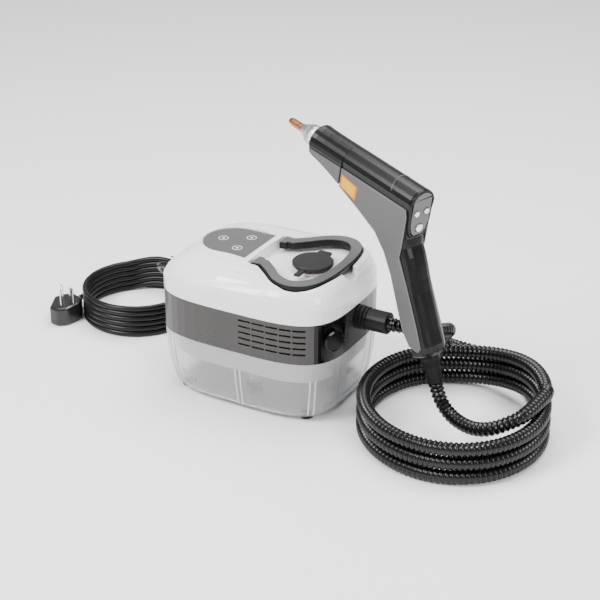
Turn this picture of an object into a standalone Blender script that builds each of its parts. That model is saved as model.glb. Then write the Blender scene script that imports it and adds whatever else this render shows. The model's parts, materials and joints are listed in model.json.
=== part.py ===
"""Portable steam cleaner: a boiler unit with a clear tank, a steam hose, a spray gun and a mains lead.

Units are metres, +Z is up. The unit's long side runs along X, its front faces -Y, its hose end is +X.
The origin is below the middle of the unit and gun together, on the surface that the feet stand on.
"""

from math import atan2, cos, pi, radians, sin

import bmesh
import bpy
from mathutils import Euler, Matrix, Vector

# ---------------------------------------------------------------- driving dimensions
GAP = 0.0003                  # between pieces that touch
ASSEMBLY_X = -0.0547          # the unit's centre, seen from the origin

UNIT_LENGTH = 0.225
UNIT_DEPTH = 0.1774
CORNER_POWER = 3.8            # the footprint is a superellipse of this power
RING_POINTS = 48
WALL = 0.0025
FOOT_HEIGHT = 0.0022
TANK_TOP = 0.0773
BAND_TOP = 0.1251
RIM_TOP = 0.1390              # top of the white shell's upright rim
HUMP_TOP = 0.1685
LOFT_TOP = 0.1665
SADDLE_DROP = 0.0045          # dip between the hump and the handle
SADDLE_X = 0.018

HANDLE_TOP = 0.1660
HANDLE_THICKNESS = 0.0065
HANDLE_AXIS = (0.002, 0.0, 0.1605)
HANDLE_STUD_RADIUS = 0.0020
HANDLE_BACK = -0.0015
RECESS_FLOOR = 0.1535
CAP_CENTRE = (0.0545, 0.0)
CAP_RADIUS = 0.0233
CAP_TOP = 0.1645
CAP_AXIS_Y = 0.0290
CAP_AXIS_Z = 0.1612
NECK_OUTER, NECK_INNER = 0.0170, 0.0145

OUTLET_Z = 0.1095
OUTLET_AXIS_X = 0.1125
FERRULE_RADIUS = 0.0125
FERRULE_END = 0.1510

HOSE_DIAMETER = 0.0162
HOSE_PITCH = 0.0165
HOSE_TURNS = 3
HOSE_CENTRE = (0.2330, -0.0045)   # seen from the unit's centre, as every place here is
HOSE_RADIUS = 0.0985          # to the middle of the hose
HOSE_STRETCH = 1.10           # the coil is slightly oval
HOSE_LONG_AXIS = radians(119.2)

CORD_DIAMETER = 0.0068
CORD_TURNS = 6
CORD_CENTRE = (-0.2326, 0.0680)
CORD_RADIUS = 0.0670
RELIEF_START = (-0.1125, 0.0350, 0.0950)
RELIEF_LENGTH = 0.0450

PLUG_HEIGHT = 0.0240
PLUG_EXIT = (-0.3020, 0.0338, 0.0165)
PIN_MIDDLE = (-0.2957, 0.0013)
PIN_TURN = radians(148)       # the direction from the live and neutral pins to the earth pin
PIN_LENGTH = 0.0210

GUN_ORIGIN = (0.1942, -0.0119, 0.0900)
GUN_YAW = radians(160.35)
GUN_PITCH = radians(-10.0)
GUN_HALF_WIDTH = 0.0170
BARREL_AXIS_Z = 0.1685
BARREL_RADIUS = 0.0180
BARREL_REAR, BARREL_FRONT = 0.0362, 0.1955
COVER_SPLIT = 0.1420
CUFF_START = (-0.0149, 0.0032)    # forward and up, in the gun's own frame
CUFF_LEAN = radians(30)
CUFF_LENGTH = 0.0280

PUMP_X, PUMP_Y = 0.0050, -0.0480
BOILER_X, BOILER_Y = -0.0420, 0.0150


# ---------------------------------------------------------------- scene and materials
def clear_scene():
    for item in list(bpy.data.objects):
        bpy.data.objects.remove(item, do_unlink=True)


def material(name, colour, roughness, metallic=0.0, alpha=1.0):
    made = bpy.data.materials.new(name)
    made.use_nodes = True
    shader = made.node_tree.nodes["Principled BSDF"]
    shader.inputs["Base Color"].default_value = (*colour, 1.0)
    shader.inputs["Roughness"].default_value = roughness
    shader.inputs["Metallic"].default_value = metallic
    shader.inputs["Alpha"].default_value = alpha
    made.diffuse_color = (*colour, alpha)
    return made


def empty(name, location, rotation=(0.0, 0.0, 0.0), parent=None):
    made = bpy.data.objects.new(name, None)
    bpy.context.collection.objects.link(made)
    made.location = location
    made.rotation_euler = rotation
    made.parent = parent
    return made


def finish_mesh(name, build, finish, parent, smooth=True):
    """Turn a bmesh into a named object with outward faces."""
    bmesh.ops.recalc_face_normals(build, faces=build.faces)
    mesh = bpy.data.meshes.new(name)
    build.to_mesh(mesh)
    build.free()
    if smooth:
        mesh.shade_smooth()
        mesh.set_sharp_from_angle(angle=radians(35))
    made = bpy.data.objects.new(name, mesh)
    bpy.context.collection.objects.link(made)
    made.parent = parent
    if finish is not None:
        mesh.materials.append(finish)
    return made


def set_origin(piece, point):
    """Move a piece's origin to a point of its parent's frame, leaving its shape where it is."""
    piece.data.transform(Matrix.Translation(-Vector(point)))
    piece.location = point


# ---------------------------------------------------------------- shape builders
def ring_body(name, rings, finish, parent, closed_loop=False, smooth=True, fan=False):
    """Skin rings of equal point count; close both ends, or join the last ring to the first.

    A fan closes an end whose points don't lie in one plane.
    """
    build = bmesh.new()
    loops = [[build.verts.new(point) for point in ring] for ring in rings]
    pairs = list(zip(loops[:-1], loops[1:]))
    if closed_loop:
        pairs.append((loops[-1], loops[0]))
    for low, high in pairs:
        for index in range(len(low)):
            after = (index + 1) % len(low)
            build.faces.new((low[index], low[after], high[after], high[index]))
    if not closed_loop:
        ends = [build.faces.new(loops[0]), build.faces.new(loops[-1])]
        if fan:
            bmesh.ops.poke(build, faces=ends)
    return finish_mesh(name, build, finish, parent, smooth)


def circle(radius, z, count=24, centre=(0.0, 0.0)):
    angles = [2 * pi * (index + 0.5) / count for index in range(count)]
    return [(centre[0] + radius * cos(a), centre[1] + radius * sin(a), z) for a in angles]


def turned(name, profile, finish, parent, count=24, closed_loop=False):
    """Turn (radius, height) pairs about Z."""
    rings = [circle(radius, z, count) for radius, z in profile]
    return ring_body(name, rings, finish, parent, closed_loop)


def place(piece, location, axis=(0.0, 0.0, 1.0)):
    """Put a piece that was built along Z at a location, along an axis of its parent's frame."""
    piece.location = location
    piece.rotation_euler = Vector((0.0, 0.0, 1.0)).rotation_difference(Vector(axis)).to_euler()
    return piece


def block(name, low, high, finish, parent, bevel=0.0, segments=2):
    build = bmesh.new()
    bmesh.ops.create_cube(build, size=1.0)
    for vert in build.verts:
        for axis in range(3):
            vert.co[axis] = low[axis] + (vert.co[axis] + 0.5) * (high[axis] - low[axis])
    made = finish_mesh(name, build, finish, parent, smooth=False)
    if bevel:
        add_bevel(made, bevel, segments)
    return made


def prism(name, outline, low, high, finish, parent, hole=None, smooth=True):
    """Extrude a closed (x, y) outline from one height to another, with an optional hole."""
    def ring(points, z):
        return [(x, y, z) for x, y in points]
    if hole is None:
        rings = [ring(outline, low), ring(outline, high)]
        return ring_body(name, rings, finish, parent, smooth=smooth)
    rings = [ring(outline, low), ring(outline, high), ring(hole, high), ring(hole, low)]
    return ring_body(name, rings, finish, parent, closed_loop=True, smooth=smooth)


def add_bevel(piece, width, segments=2, angle=40):
    bevel = piece.modifiers.new("bevel", "BEVEL")
    bevel.width = width
    bevel.segments = segments
    bevel.limit_method = "ANGLE"
    bevel.angle_limit = radians(angle)
    return bevel


def cut(piece, cutter):
    cutter.hide_render = True
    cutter.display_type = "WIRE"
    boolean = piece.modifiers.new("cut_" + cutter.name, "BOOLEAN")
    boolean.operation = "DIFFERENCE"
    boolean.solver = "EXACT"
    boolean.object = cutter


def side_prism(name, outline, near, far, finish, parent, smooth=True):
    """Extrude a (forward, up) outline across the gun's width, from one side position to another."""
    rings = [[(forward, side, up) for forward, up in outline] for side in (near, far)]
    return ring_body(name, rings, finish, parent, smooth=smooth)


def smooth_loop(points, steps):
    """A closed Catmull-Rom curve through (x, y) points."""
    count = len(points)
    curve = []
    for index in range(count):
        p0, p1, p2, p3 = (Vector(points[(index + shift - 1) % count]) for shift in range(4))
        for step in range(steps):
            t = step / steps
            curve.append(tuple(0.5 * (2 * p1 + (p2 - p0) * t + (2 * p0 - 5 * p1 + 4 * p2 - p3) * t * t
                                      + (3 * p1 - p0 - 3 * p2 + p3) * t ** 3)))
    return curve


def smooth_route(points, spacing):
    """Points a set distance apart on a smooth open curve through a route's own points."""
    ends = [2 * Vector(points[0]) - Vector(points[1])]
    tail = [2 * Vector(points[-1]) - Vector(points[-2])]
    knots = ends + [Vector(point) for point in points] + tail
    fine = []
    for p0, p1, p2, p3 in zip(knots, knots[1:], knots[2:], knots[3:]):
        for step in range(24):
            t = step / 24
            fine.append(0.5 * (2 * p1 + (p2 - p0) * t + (2 * p0 - 5 * p1 + 4 * p2 - p3) * t * t
                               + (3 * p1 - p0 - 3 * p2 + p3) * t ** 3))
    fine.append(knots[-2])
    length = sum((b - a).length for a, b in zip(fine, fine[1:]))
    count = max(2, round(length / spacing))
    even, travelled, target = [fine[0]], 0.0, length / count
    for a, b in zip(fine, fine[1:]):
        step = (b - a).length
        while travelled + step >= target and len(even) < count:
            even.append(a.lerp(b, (target - travelled) / step))
            target += length / count
        travelled += step
    return even + [fine[-1]]


def tube(name, route, diameter, finish, parent, spacing=2.6, resolution=3):
    """A plain round tube along a smooth route. Its ends face along the route's first and last stretch."""
    points = smooth_route(route, diameter * spacing)
    ends = (Vector(route[1]) - Vector(route[0]), Vector(route[-2]) - Vector(route[-1]))
    points.insert(1, points[0] + ends[0].normalized() * diameter * 0.25)
    points.insert(-1, points[-1] + ends[1].normalized() * diameter * 0.25)
    curve = bpy.data.curves.new(name, "CURVE")
    curve.dimensions = "3D"
    curve.bevel_depth = diameter / 2
    curve.bevel_resolution = resolution
    curve.use_fill_caps = True
    spline = curve.splines.new("POLY")
    spline.points.add(len(points) - 1)
    for spot, point in zip(spline.points, points):
        spot.co = (*point, 1.0)
    curve.materials.append(finish)
    made = bpy.data.objects.new(name, curve)
    bpy.context.collection.objects.link(made)
    made.parent = parent
    return made


# ---------------------------------------------------------------- the unit's own outlines
def footprint(z, inset=0.0, scale=1.0, power=CORNER_POWER):
    half_x, half_y = UNIT_LENGTH / 2 - inset, UNIT_DEPTH / 2 - inset
    ring = []
    for index in range(RING_POINTS):
        a = 2 * pi * (index + 0.5) / RING_POINTS
        c, s = cos(a), sin(a)
        x = scale * half_x * abs(c) ** (2 / power) * (1 if c > 0 else -1)
        y = scale * half_y * abs(s) ** (2 / power) * (1 if s > 0 else -1)
        ring.append((x, y, z))
    return ring


def footprint_point(angle, inset=0.0):
    half_x, half_y = UNIT_LENGTH / 2 - inset, UNIT_DEPTH / 2 - inset
    c, s = cos(angle), sin(angle)
    x = half_x * abs(c) ** (2 / CORNER_POWER) * (1 if c > 0 else -1)
    y = half_y * abs(s) ** (2 / CORNER_POWER) * (1 if s > 0 else -1)
    return x, y


def front_point(x, inset):
    """The point of the unit's front at a distance along it."""
    half_x, half_y = UNIT_LENGTH / 2 - inset, UNIT_DEPTH / 2 - inset
    return x, -half_y * (1 - (x / half_x) ** CORNER_POWER) ** (1 / CORNER_POWER)


def dome_height(x, scale):
    """Height of the white shell's outside, at a share of the way out to the rim."""
    blend = min(1.0, max(0.0, (x + 0.05) / 0.11))
    blend = blend * blend * (3 - 2 * blend)
    saddle = SADDLE_DROP * 2.718 ** (-((x - SADDLE_X) / 0.028) ** 2)
    top = HUMP_TOP + (LOFT_TOP - HUMP_TOP) * blend - saddle
    edge = 5.0 + 8.0 * blend
    return RIM_TOP + (top - RIM_TOP) * max(0.0, 1 - scale ** edge) ** 0.8


def handle_outline(grow=0.0):
    """The carrying handle seen from above, symmetric about the X axis."""
    half = [(-0.0040, 0.0345), (0.0090, 0.0400), (0.0240, 0.0520), (0.0400, 0.0665), (0.0580, 0.0735),
            (0.0750, 0.0700), (0.0880, 0.0560), (0.0945, 0.0320), (0.0965, 0.0000)]
    return mirrored(half, grow)


def handle_inside(grow=0.0):
    half = [(0.0065, 0.0225), (0.0150, 0.0270), (0.0280, 0.0385), (0.0420, 0.0520), (0.0570, 0.0590),
            (0.0690, 0.0560), (0.0780, 0.0440), (0.0825, 0.0250), (0.0840, 0.0000)]
    return mirrored(half, grow)


def mirrored(half, grow):
    centre = Vector((0.048, 0.0))
    upper = [Vector(point) for point in half]
    lower = [Vector((point[0], -point[1])) for point in reversed(half[:-1])]
    grown = []
    for point in upper + lower:
        away = point - centre
        grown.append(tuple(point + away.normalized() * grow))
    return grown


# ---------------------------------------------------------------- feet, tank, band and shell
def make_feet(finish, parent):
    for index, (side_x, side_y) in enumerate(((-1, -1), (1, -1), (1, 1), (-1, 1))):
        profile = [(0.0070, 0.0), (0.0080, 0.0008), (0.0080, FOOT_HEIGHT)]
        foot = turned(f"foot_{index + 1}", profile, finish, parent, count=20)
        foot.location = (side_x * 0.078, side_y * 0.056, 0.0)


def make_tank(finish, parent):
    floor = FOOT_HEIGHT + GAP
    outside = [(floor, 0.0165), (floor + 0.0015, 0.0130), (floor + 0.0060, 0.0095),
               (0.0200, 0.0062), (0.0450, 0.0022), (TANK_TOP, 0.0)]
    inside = [(TANK_TOP, WALL), (0.0450, 0.0022 + WALL), (0.0200, 0.0062 + WALL),
              (floor + 0.0080, 0.0120), (floor + 0.0030, 0.0160)]
    rings = [footprint(z, inset) for z, inset in outside + inside]
    return ring_body("water_tank", rings, finish, parent)


def make_chassis_tub(finish, parent):
    """The dry tub that hangs into the tank and carries the boiler and the pump."""
    flange = TANK_TOP + GAP
    rings = [footprint(0.0480, 0.0125), footprint(0.0500, 0.0110), footprint(flange, 0.0095),
             footprint(flange, 0.0032), footprint(flange + 0.0022, 0.0032),
             footprint(flange + 0.0022, 0.0115), footprint(0.0502, 0.0130)]
    tub = ring_body("chassis_tub", rings, finish, parent)
    for name, x, y, radius in (("neck_hole", *CAP_CENTRE, NECK_OUTER + 0.0004),
                               ("suction_hole", PUMP_X, PUMP_Y, 0.0036)):
        cutter = turned(name, [(radius, 0.040), (radius, 0.060)], None, parent)
        cutter.location = (x, y, 0.0)
        cut(tub, cutter)
    return tub


def make_band(finish, parent):
    low, high = TANK_TOP + GAP, BAND_TOP - GAP
    skin = 0.0003
    rings = [footprint(low, skin), footprint(high, skin), footprint(high, skin + WALL),
             footprint(low, skin + WALL)]
    band = ring_body("mid_band", rings, finish, parent, closed_loop=True)
    cut(band, vent_cutter(parent))
    outlet = turned("outlet_hole", [(0.0108, 0.095), (0.0108, 0.125)], None, parent)
    cut(band, place(outlet, (0.0, 0.0, OUTLET_Z), (1, 0, 0)))
    inlet = turned("inlet_hole", [(0.0066, 0.0), (0.0066, 0.030)], None, parent)
    cut(band, place(inlet, (-0.095, RELIEF_START[1], RELIEF_START[2]), (-1, 0, 0)))
    return band


def vent_cutter(parent):
    """Five rows of short cooling slots that follow the front and the corner."""
    build = bmesh.new()
    edges, rib = (0.0090, 0.0260, 0.0430, 0.0590, 0.0740, 0.0890), 0.0009
    slots = [(front_point(a, -0.001), front_point(b, -0.001), front_point(b, 0.005),
              front_point(a, 0.005))
             for a, b in ((start + rib, end - rib) for start, end in zip(edges, edges[1:]))]
    for row in range(5):
        z = 0.0895 + row * 0.0072
        for corners in slots:
            low = [build.verts.new((x, y, z - 0.0011)) for x, y in corners]
            high = [build.verts.new((x, y, z + 0.0011)) for x, y in corners]
            build.faces.new(low)
            build.faces.new(high)
            for index in range(4):
                after = (index + 1) % 4
                build.faces.new((low[index], low[after], high[after], high[index]))
    return finish_mesh("vent_slots", build, None, parent, smooth=False)


def make_side_window(finish, cap_finish, parent):
    """The gloss panel that wraps the front right corner, and the round blank cap on it."""
    angles = [radians(-42.0 + 34.0 * index / 10) for index in range(11)]
    low, high = TANK_TOP + 0.0012, BAND_TOP - 0.0012
    outside = [footprint_point(a, -0.0010) for a in angles]
    inside = [footprint_point(a, 0.0) for a in reversed(angles)]
    prism("side_window", outside + inside, low, high, finish, parent)
    x, y = footprint_point(radians(-22.5), -0.0013)
    outward = Vector((0.87, -0.49, 0.0))
    profile = [(0.0110, 0.0010), (0.0125, 0.0016), (0.0125, 0.0040), (0.0105, 0.0052)]
    cap = turned("outlet_blank", profile, cap_finish, parent, count=24)
    place(cap, (x, y, 0.1035), outward)


def make_top_shell(finish, parent):
    scales = (1.0, 0.992, 0.975, 0.95, 0.91, 0.85, 0.76, 0.62, 0.42, 0.20)
    outside = [footprint(BAND_TOP, 0.0)]
    for scale in scales:
        ring = footprint(0.0, 0.0, scale)
        outside.append([(x, y, dome_height(x, scale)) for x, y, _ in ring])
    cavity_top = RECESS_FLOOR - WALL
    inside = [footprint(cavity_top, 0.022), footprint(cavity_top - 0.004, 0.0105),
              footprint(RIM_TOP - 0.004, WALL), footprint(BAND_TOP, WALL)]
    shell = ring_body("top_shell", inside + outside, finish, parent, fan=True)

    recess = prism("recess", smooth_loop(handle_outline(0.0018), 4), RECESS_FLOOR, 0.20, None, parent)
    cut(shell, recess)
    # The handle's arms flare outwards, so the recess is wider where they swing up past its walls
    cut(shell, block("swing_way", (-0.0060, -0.0402, 0.1583), (0.0042, 0.0402, 0.20), None, parent))
    pocket = prism("panel_pocket", panel_outline(0.0004), 0.1643, 0.20, None, parent)
    cut(shell, pocket)
    hollow = block("hump_hollow", (-0.078, -0.045, 0.140), (-0.016, 0.045, 0.1604), None, parent)
    cut(shell, hollow)
    neck = turned("neck_way", [(NECK_OUTER + 0.0004, 0.12), (NECK_OUTER + 0.0004, 0.18)], None, parent)
    neck.location = (*CAP_CENTRE, 0.0)
    cut(shell, neck)
    scoop = turned("finger_scoop", [(0.0005, -0.0110), (0.0080, -0.0095), (0.0125, -0.0045),
                                    (0.0135, 0.0020), (0.0135, 0.0200)], None, parent, count=20)
    scoop.location = (0.1000, 0.0, 0.1620)
    cut(shell, scoop)
    stud = turned("stud_holes", [(HANDLE_STUD_RADIUS + 0.0001, -0.0480),
                                 (HANDLE_STUD_RADIUS + 0.0001, 0.0480)], None, parent, count=20)
    cut(shell, place(stud, HANDLE_AXIS, (0, 1, 0)))
    return shell


def panel_outline(grow=0.0):
    """Rounded at the left, square at the right."""
    left, right, half = -0.0835 - grow, -0.0128 + grow, 0.0355 + grow
    bend = -0.0480
    points = [(right, -half), (right, half)]
    for index in range(17):
        a = pi / 2 + pi * index / 16
        points.append((bend + (bend - left) * cos(a), half * sin(a)))
    return points


def make_control_panel(finish, board_finish, parent):
    panel = prism("control_panel", panel_outline(), 0.1643 + GAP, 0.1662, finish, parent)
    add_bevel(panel, 0.0004, 1)
    block("touch_board", (-0.076, -0.026, 0.1585), (-0.020, 0.026, 0.1601), board_finish, parent)


# ---------------------------------------------------------------- carrying handle and filler
def make_handle(body_finish, inlay_finish, parent):
    """A bail that folds down round the filler cap. Its studs snap into the shell."""
    outline, inside = smooth_loop(handle_outline(), 4), smooth_loop(handle_inside(), 4)
    top = HANDLE_TOP - 0.0012
    frame = prism("carry_handle", outline, top - HANDLE_THICKNESS, top, body_finish, parent, inside)
    open_end = block("handle_opening", (-0.010, -0.0225, 0.150), (0.0125, 0.0225, 0.18), None, parent)
    cut(frame, open_end)
    # The ends stop close behind the studs, so that they swing clear of the recess
    cut(frame, block("handle_back", (-0.020, -0.060, 0.150), (HANDLE_BACK, 0.060, 0.18), None, parent))
    for side, name in ((-1, "front"), (1, "back")):
        reach = [(HANDLE_STUD_RADIUS, 0.0), (HANDLE_STUD_RADIUS, 0.0105)]
        stud = turned("stud_" + name, reach, body_finish, parent, count=20)
        place(stud, (HANDLE_AXIS[0], side * 0.0345, HANDLE_AXIS[2]), (0, side, 0))
        stud.hide_render = True
        stud.display_type = "WIRE"
        union = frame.modifiers.new("stud_" + name, "BOOLEAN")
        union.operation = "UNION"
        union.solver = "EXACT"
        union.object = stud
    set_origin(frame, HANDLE_AXIS)

    rim = smooth_loop(handle_outline(-0.0011), 4)
    lip = smooth_loop(handle_inside(0.0011), 4)
    inlay = prism("handle_inlay", rim, top + GAP, HANDLE_TOP + 0.0004, inlay_finish, parent, lip)
    inlay_cut = block("inlay_opening", (-0.010, -0.0236, 0.150), (0.0136, 0.0236, 0.18), None, parent)
    cut(inlay, inlay_cut)
    cut(inlay, block("inlay_back", (-0.020, -0.060, 0.150), (HANDLE_BACK + 0.0011, 0.060, 0.18), None,
                     parent))
    set_origin(inlay, HANDLE_AXIS)


def make_filler(cap_finish, seal_finish, neck_finish, parent):
    x, y = CAP_CENTRE
    neck = [(NECK_OUTER, 0.0440), (NECK_OUTER, RECESS_FLOOR + GAP), (0.0200, RECESS_FLOOR + GAP),
            (0.0200, 0.1562), (NECK_INNER, 0.1562), (NECK_INNER, 0.0440)]
    piece = turned("filler_neck", neck, neck_finish, parent, count=28, closed_loop=True)
    piece.location = (x, y, 0.0)

    base = CAP_TOP - 0.0050
    profile = [(0.0105, 0.1525), (0.0118, 0.1535), (0.0118, base), (0.0225, base),
               (CAP_RADIUS, base + 0.0008), (CAP_RADIUS, CAP_TOP - 0.0010), (0.0222, CAP_TOP)]
    cap = turned("fill_cap", profile, cap_finish, parent, count=32)
    cap.location = (x, y, 0.0)
    tab = block("cap_tab", (-0.0032, -0.0375, base + 0.0005), (0.0032, -0.0200, base + 0.0030),
                None, parent)
    tab.location = (x, y, 0.0)
    strap = block("cap_strap", (-0.0075, 0.0180, base + 0.0005), (0.0075, 0.0310, base + 0.0038),
                  None, parent)
    strap.location = (x, y, 0.0)
    for extra in (tab, strap):
        extra.hide_render = True
        extra.display_type = "WIRE"
        union = cap.modifiers.new("join_" + extra.name, "BOOLEAN")
        union.operation = "UNION"
        union.solver = "EXACT"
        union.object = extra
    cap.data.transform(Matrix.Translation((0.0, -CAP_AXIS_Y, -CAP_AXIS_Z)))
    cap.location = (x, CAP_AXIS_Y, CAP_AXIS_Z)

    seal = turned("cap_seal", [(0.0122, 0.1566), (0.0168, 0.1566), (0.0168, base - GAP),
                               (0.0122, base - GAP)], seal_finish, parent, count=28, closed_loop=True)
    seal.data.transform(Matrix.Translation((0.0, -CAP_AXIS_Y, -CAP_AXIS_Z)))
    seal.location = (x, CAP_AXIS_Y, CAP_AXIS_Z)


# ---------------------------------------------------------------- inside the unit
def make_boiler(metal, steel, brass, black, parent):
    base = 0.0506
    body = block("boiler_body", (-0.038, -0.030, base), (0.038, 0.030, base + 0.048), metal, parent,
                 bevel=0.008, segments=3)
    lid = block("boiler_lid", (-0.040, -0.032, base + 0.0483), (0.040, 0.032, base + 0.0535),
                steel, parent, bevel=0.0015, segments=1)
    top = base + 0.0535 + GAP
    for piece in (body, lid):
        piece.location = (BOILER_X, BOILER_Y, 0.0)
    thermostat = turned("thermostat", [(0.0085, 0.0), (0.0085, 0.0055), (0.0060, 0.0075)], black,
                        parent, count=20)
    thermostat.location = (BOILER_X - 0.018, BOILER_Y + 0.006, top)
    valve = turned("safety_valve", [(0.0050, 0.0), (0.0050, 0.0090), (0.0035, 0.0100),
                                    (0.0035, 0.0140)], brass, parent, count=16)
    valve.location = (BOILER_X + 0.004, BOILER_Y + 0.018, top)
    x, y = BOILER_X, BOILER_Y - 0.0346
    low, high = base + 0.012, base + 0.034
    route = [(x - 0.020, y, high), (x - 0.010, y - 0.003, high), (x + 0.014, y - 0.003, high - 0.002),
             (x + 0.026, y - 0.003, (low + high) / 2), (x + 0.014, y - 0.003, low + 0.002),
             (x - 0.010, y - 0.003, low), (x - 0.020, y, low)]
    tube("heating_element", route, 0.0060, steel, parent, spacing=1.0, resolution=2)


def make_pump(brass, steel, black, white, parent):
    """A small vibrating piston pump that stands in the tub."""
    foot, top = 0.0560, 0.1130
    barrel = turned("pump_barrel", [(0.0062, foot), (0.0062, top), (0.0046, top), (0.0046, foot)],
                    brass, parent, count=20, closed_loop=True)
    barrel.location = (PUMP_X, PUMP_Y, 0.0)
    coil = block("pump_coil", (-0.0165, -0.0150, 0.0680), (0.0165, 0.0150, 0.0980), white, parent,
                 bevel=0.0015, segments=1)
    coil.location = (PUMP_X, PUMP_Y, 0.0)
    bore = turned("coil_bore", [(0.0066, 0.060), (0.0066, 0.105)], None, parent, count=20)
    bore.location = (PUMP_X, PUMP_Y, 0.0)
    cut(coil, bore)
    plunger = turned("pump_plunger", [(0.0038, -0.0120), (0.0043, -0.0115), (0.0043, 0.0115),
                                      (0.0038, 0.0120)], steel, parent, count=16)
    plunger.location = (PUMP_X, PUMP_Y, 0.0860)
    rise, turns, radius, steps = 0.0100, 4, 0.0032, 40
    start = 0.1000
    points = [(PUMP_X + radius * cos(2 * pi * turns * step / steps),
               PUMP_Y + radius * sin(2 * pi * turns * step / steps), start + rise * step / steps)
              for step in range(steps + 1)]
    wire = bpy.data.curves.new("pump_spring", "CURVE")
    wire.dimensions = "3D"
    wire.bevel_depth = 0.0004
    wire.bevel_resolution = 1
    wire.use_fill_caps = True
    spline = wire.splines.new("POLY")
    spline.points.add(len(points) - 1)
    for spot, point in zip(spline.points, points):
        spot.co = (*point, 1.0)
    wire.materials.append(steel)
    spring = bpy.data.objects.new("pump_spring", wire)
    bpy.context.collection.objects.link(spring)
    spring.parent = parent

    strainer = turned("water_strainer", [(0.0080, 0.0090), (0.0095, 0.0100), (0.0095, 0.0190),
                                         (0.0060, 0.0210)], black, parent, count=20)
    strainer.location = (PUMP_X, PUMP_Y, 0.0)
    tube("suction_tube", [(PUMP_X, PUMP_Y, 0.0213), (PUMP_X, PUMP_Y, 0.032), (PUMP_X, PUMP_Y, 0.044),
                          (PUMP_X, PUMP_Y, foot - GAP)], 0.0060, white, parent, resolution=2)
    feed = [(PUMP_X, PUMP_Y, top + GAP), (PUMP_X, PUMP_Y + 0.001, top + 0.008),
            (PUMP_X - 0.010, PUMP_Y + 0.012, top + 0.014),
            (BOILER_X + 0.026, BOILER_Y - 0.024, top + 0.012),
            (BOILER_X + 0.0205, BOILER_Y - 0.013, top + 0.003),
            (BOILER_X + 0.020, BOILER_Y - 0.010, 0.1095), (BOILER_X + 0.020, BOILER_Y - 0.010, 0.1047)]
    tube("feed_tube", feed, 0.0052, white, parent, spacing=1.6, resolution=2)


def make_steam_pipe(finish, parent):
    top = 0.1047
    route = [(BOILER_X + 0.022, BOILER_Y + 0.014, top), (BOILER_X + 0.022, BOILER_Y + 0.014, top + 0.006),
             (BOILER_X + 0.026, BOILER_Y + 0.016, top + 0.012),
             (BOILER_X + 0.040, BOILER_Y + 0.020, top + 0.016), (0.030, 0.038, 0.1180),
             (0.060, 0.036, 0.1140), (0.084, 0.016, 0.1105), (0.096, 0.002, OUTLET_Z),
             (0.1100, 0.0, OUTLET_Z)]
    tube("steam_pipe", route, 0.0070, finish, parent, spacing=1.6, resolution=2)


# ---------------------------------------------------------------- steam hose
def make_outlet(black, parent):
    face = OUTLET_AXIS_X + GAP
    groove = [(0.0118, 0.0), (0.0138, 0.0006), (0.0138, 0.0034), (0.0120, 0.0044), (0.0136, 0.0056),
              (0.0136, 0.0082), (0.0118, 0.0092), (0.0132, 0.0104), (0.0132, 0.0128)]
    boot = turned("outlet_boot", groove + [(0.0060, 0.0128), (0.0060, 0.0)], black, parent,
                  count=20, closed_loop=True)
    place(boot, (face, 0.0, OUTLET_Z), (1, 0, 0))
    start = face + 0.0128 + GAP
    length = FERRULE_END - start
    profile = [(0.0120, 0.0), (FERRULE_RADIUS, 0.0008), (FERRULE_RADIUS, length - 0.0010),
               (0.0115, length)]
    ferrule = turned("hose_ferrule", profile, black, parent, count=20)
    place(ferrule, (start, 0.0, OUTLET_Z), (1, 0, 0))


def hose_spot(angle, z, offset=0.0):
    """A point on the hose coil; the angle is measured from the coil's short axis."""
    along = Vector((cos(HOSE_LONG_AXIS), sin(HOSE_LONG_AXIS)))
    across = Vector((along.y, -along.x))
    flat = Vector(HOSE_CENTRE)
    flat += across * (HOSE_RADIUS + offset) * cos(angle)
    flat += along * (HOSE_RADIUS * HOSE_STRETCH + offset) * sin(angle)
    return (flat.x, flat.y, z)


def coil_ring(name, spot, count, diameter, pitch, turns, steps, finish, parent):
    """The outer shape of stacked turns: a ring with a bulge for each turn."""
    profile = []
    for turn in range(turns):
        centre = diameter / 2 + turn * pitch
        for step in range(steps):
            a = radians(-52 + 104 * step / (steps - 1))
            profile.append((diameter / 2 * cos(a), centre + diameter / 2 * sin(a)))
    top = diameter + (turns - 1) * pitch
    section = [(0.0, 0.0)] + profile + [(0.0, top)] + [(-x, z) for x, z in reversed(profile)]
    rings = [[spot(2 * pi * index / count, z, x) for index in range(count)] for x, z in section]
    return ring_body(name, rings, finish, parent, closed_loop=True)


HOSE_LEAD_ROUTE = [
    (0.1580, 0.0001, 0.1094), (0.1765, 0.0060, 0.1080), (0.1930, 0.0215, 0.1025),
    (0.1990, 0.0430, 0.0945), (0.1950, 0.0620, 0.0855), (0.1870, 0.0786, 0.0735),
    (0.1742, 0.0933, 0.0600), (0.1656, 0.1067, 0.0475), (0.1610, 0.1220, 0.0355),
    (0.1626, 0.1366, 0.0250), (0.1698, 0.1492, 0.0170), (0.1833, 0.1579, 0.0120),
    (0.1997, 0.1614, 0.0095), (0.2171, 0.1591, 0.0085), (0.2339, 0.1525, 0.0083),
    (0.2501, 0.1420, 0.0083), (0.2644, 0.1288, 0.0083), (0.2762, 0.1148, 0.0083),
    (0.2861, 0.1009, 0.0083)]

GUN_LEAD_ROUTE = [
    (0.2280, -0.0245, 0.0440), (0.2400, -0.0300, 0.0360), (0.2560, -0.0370, 0.0330),
    (0.2745, -0.0435, 0.0345), (0.2930, -0.0460, 0.0405), (0.3105, -0.0400, 0.0490),
    (0.3235, -0.0245, 0.0555)]


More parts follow.
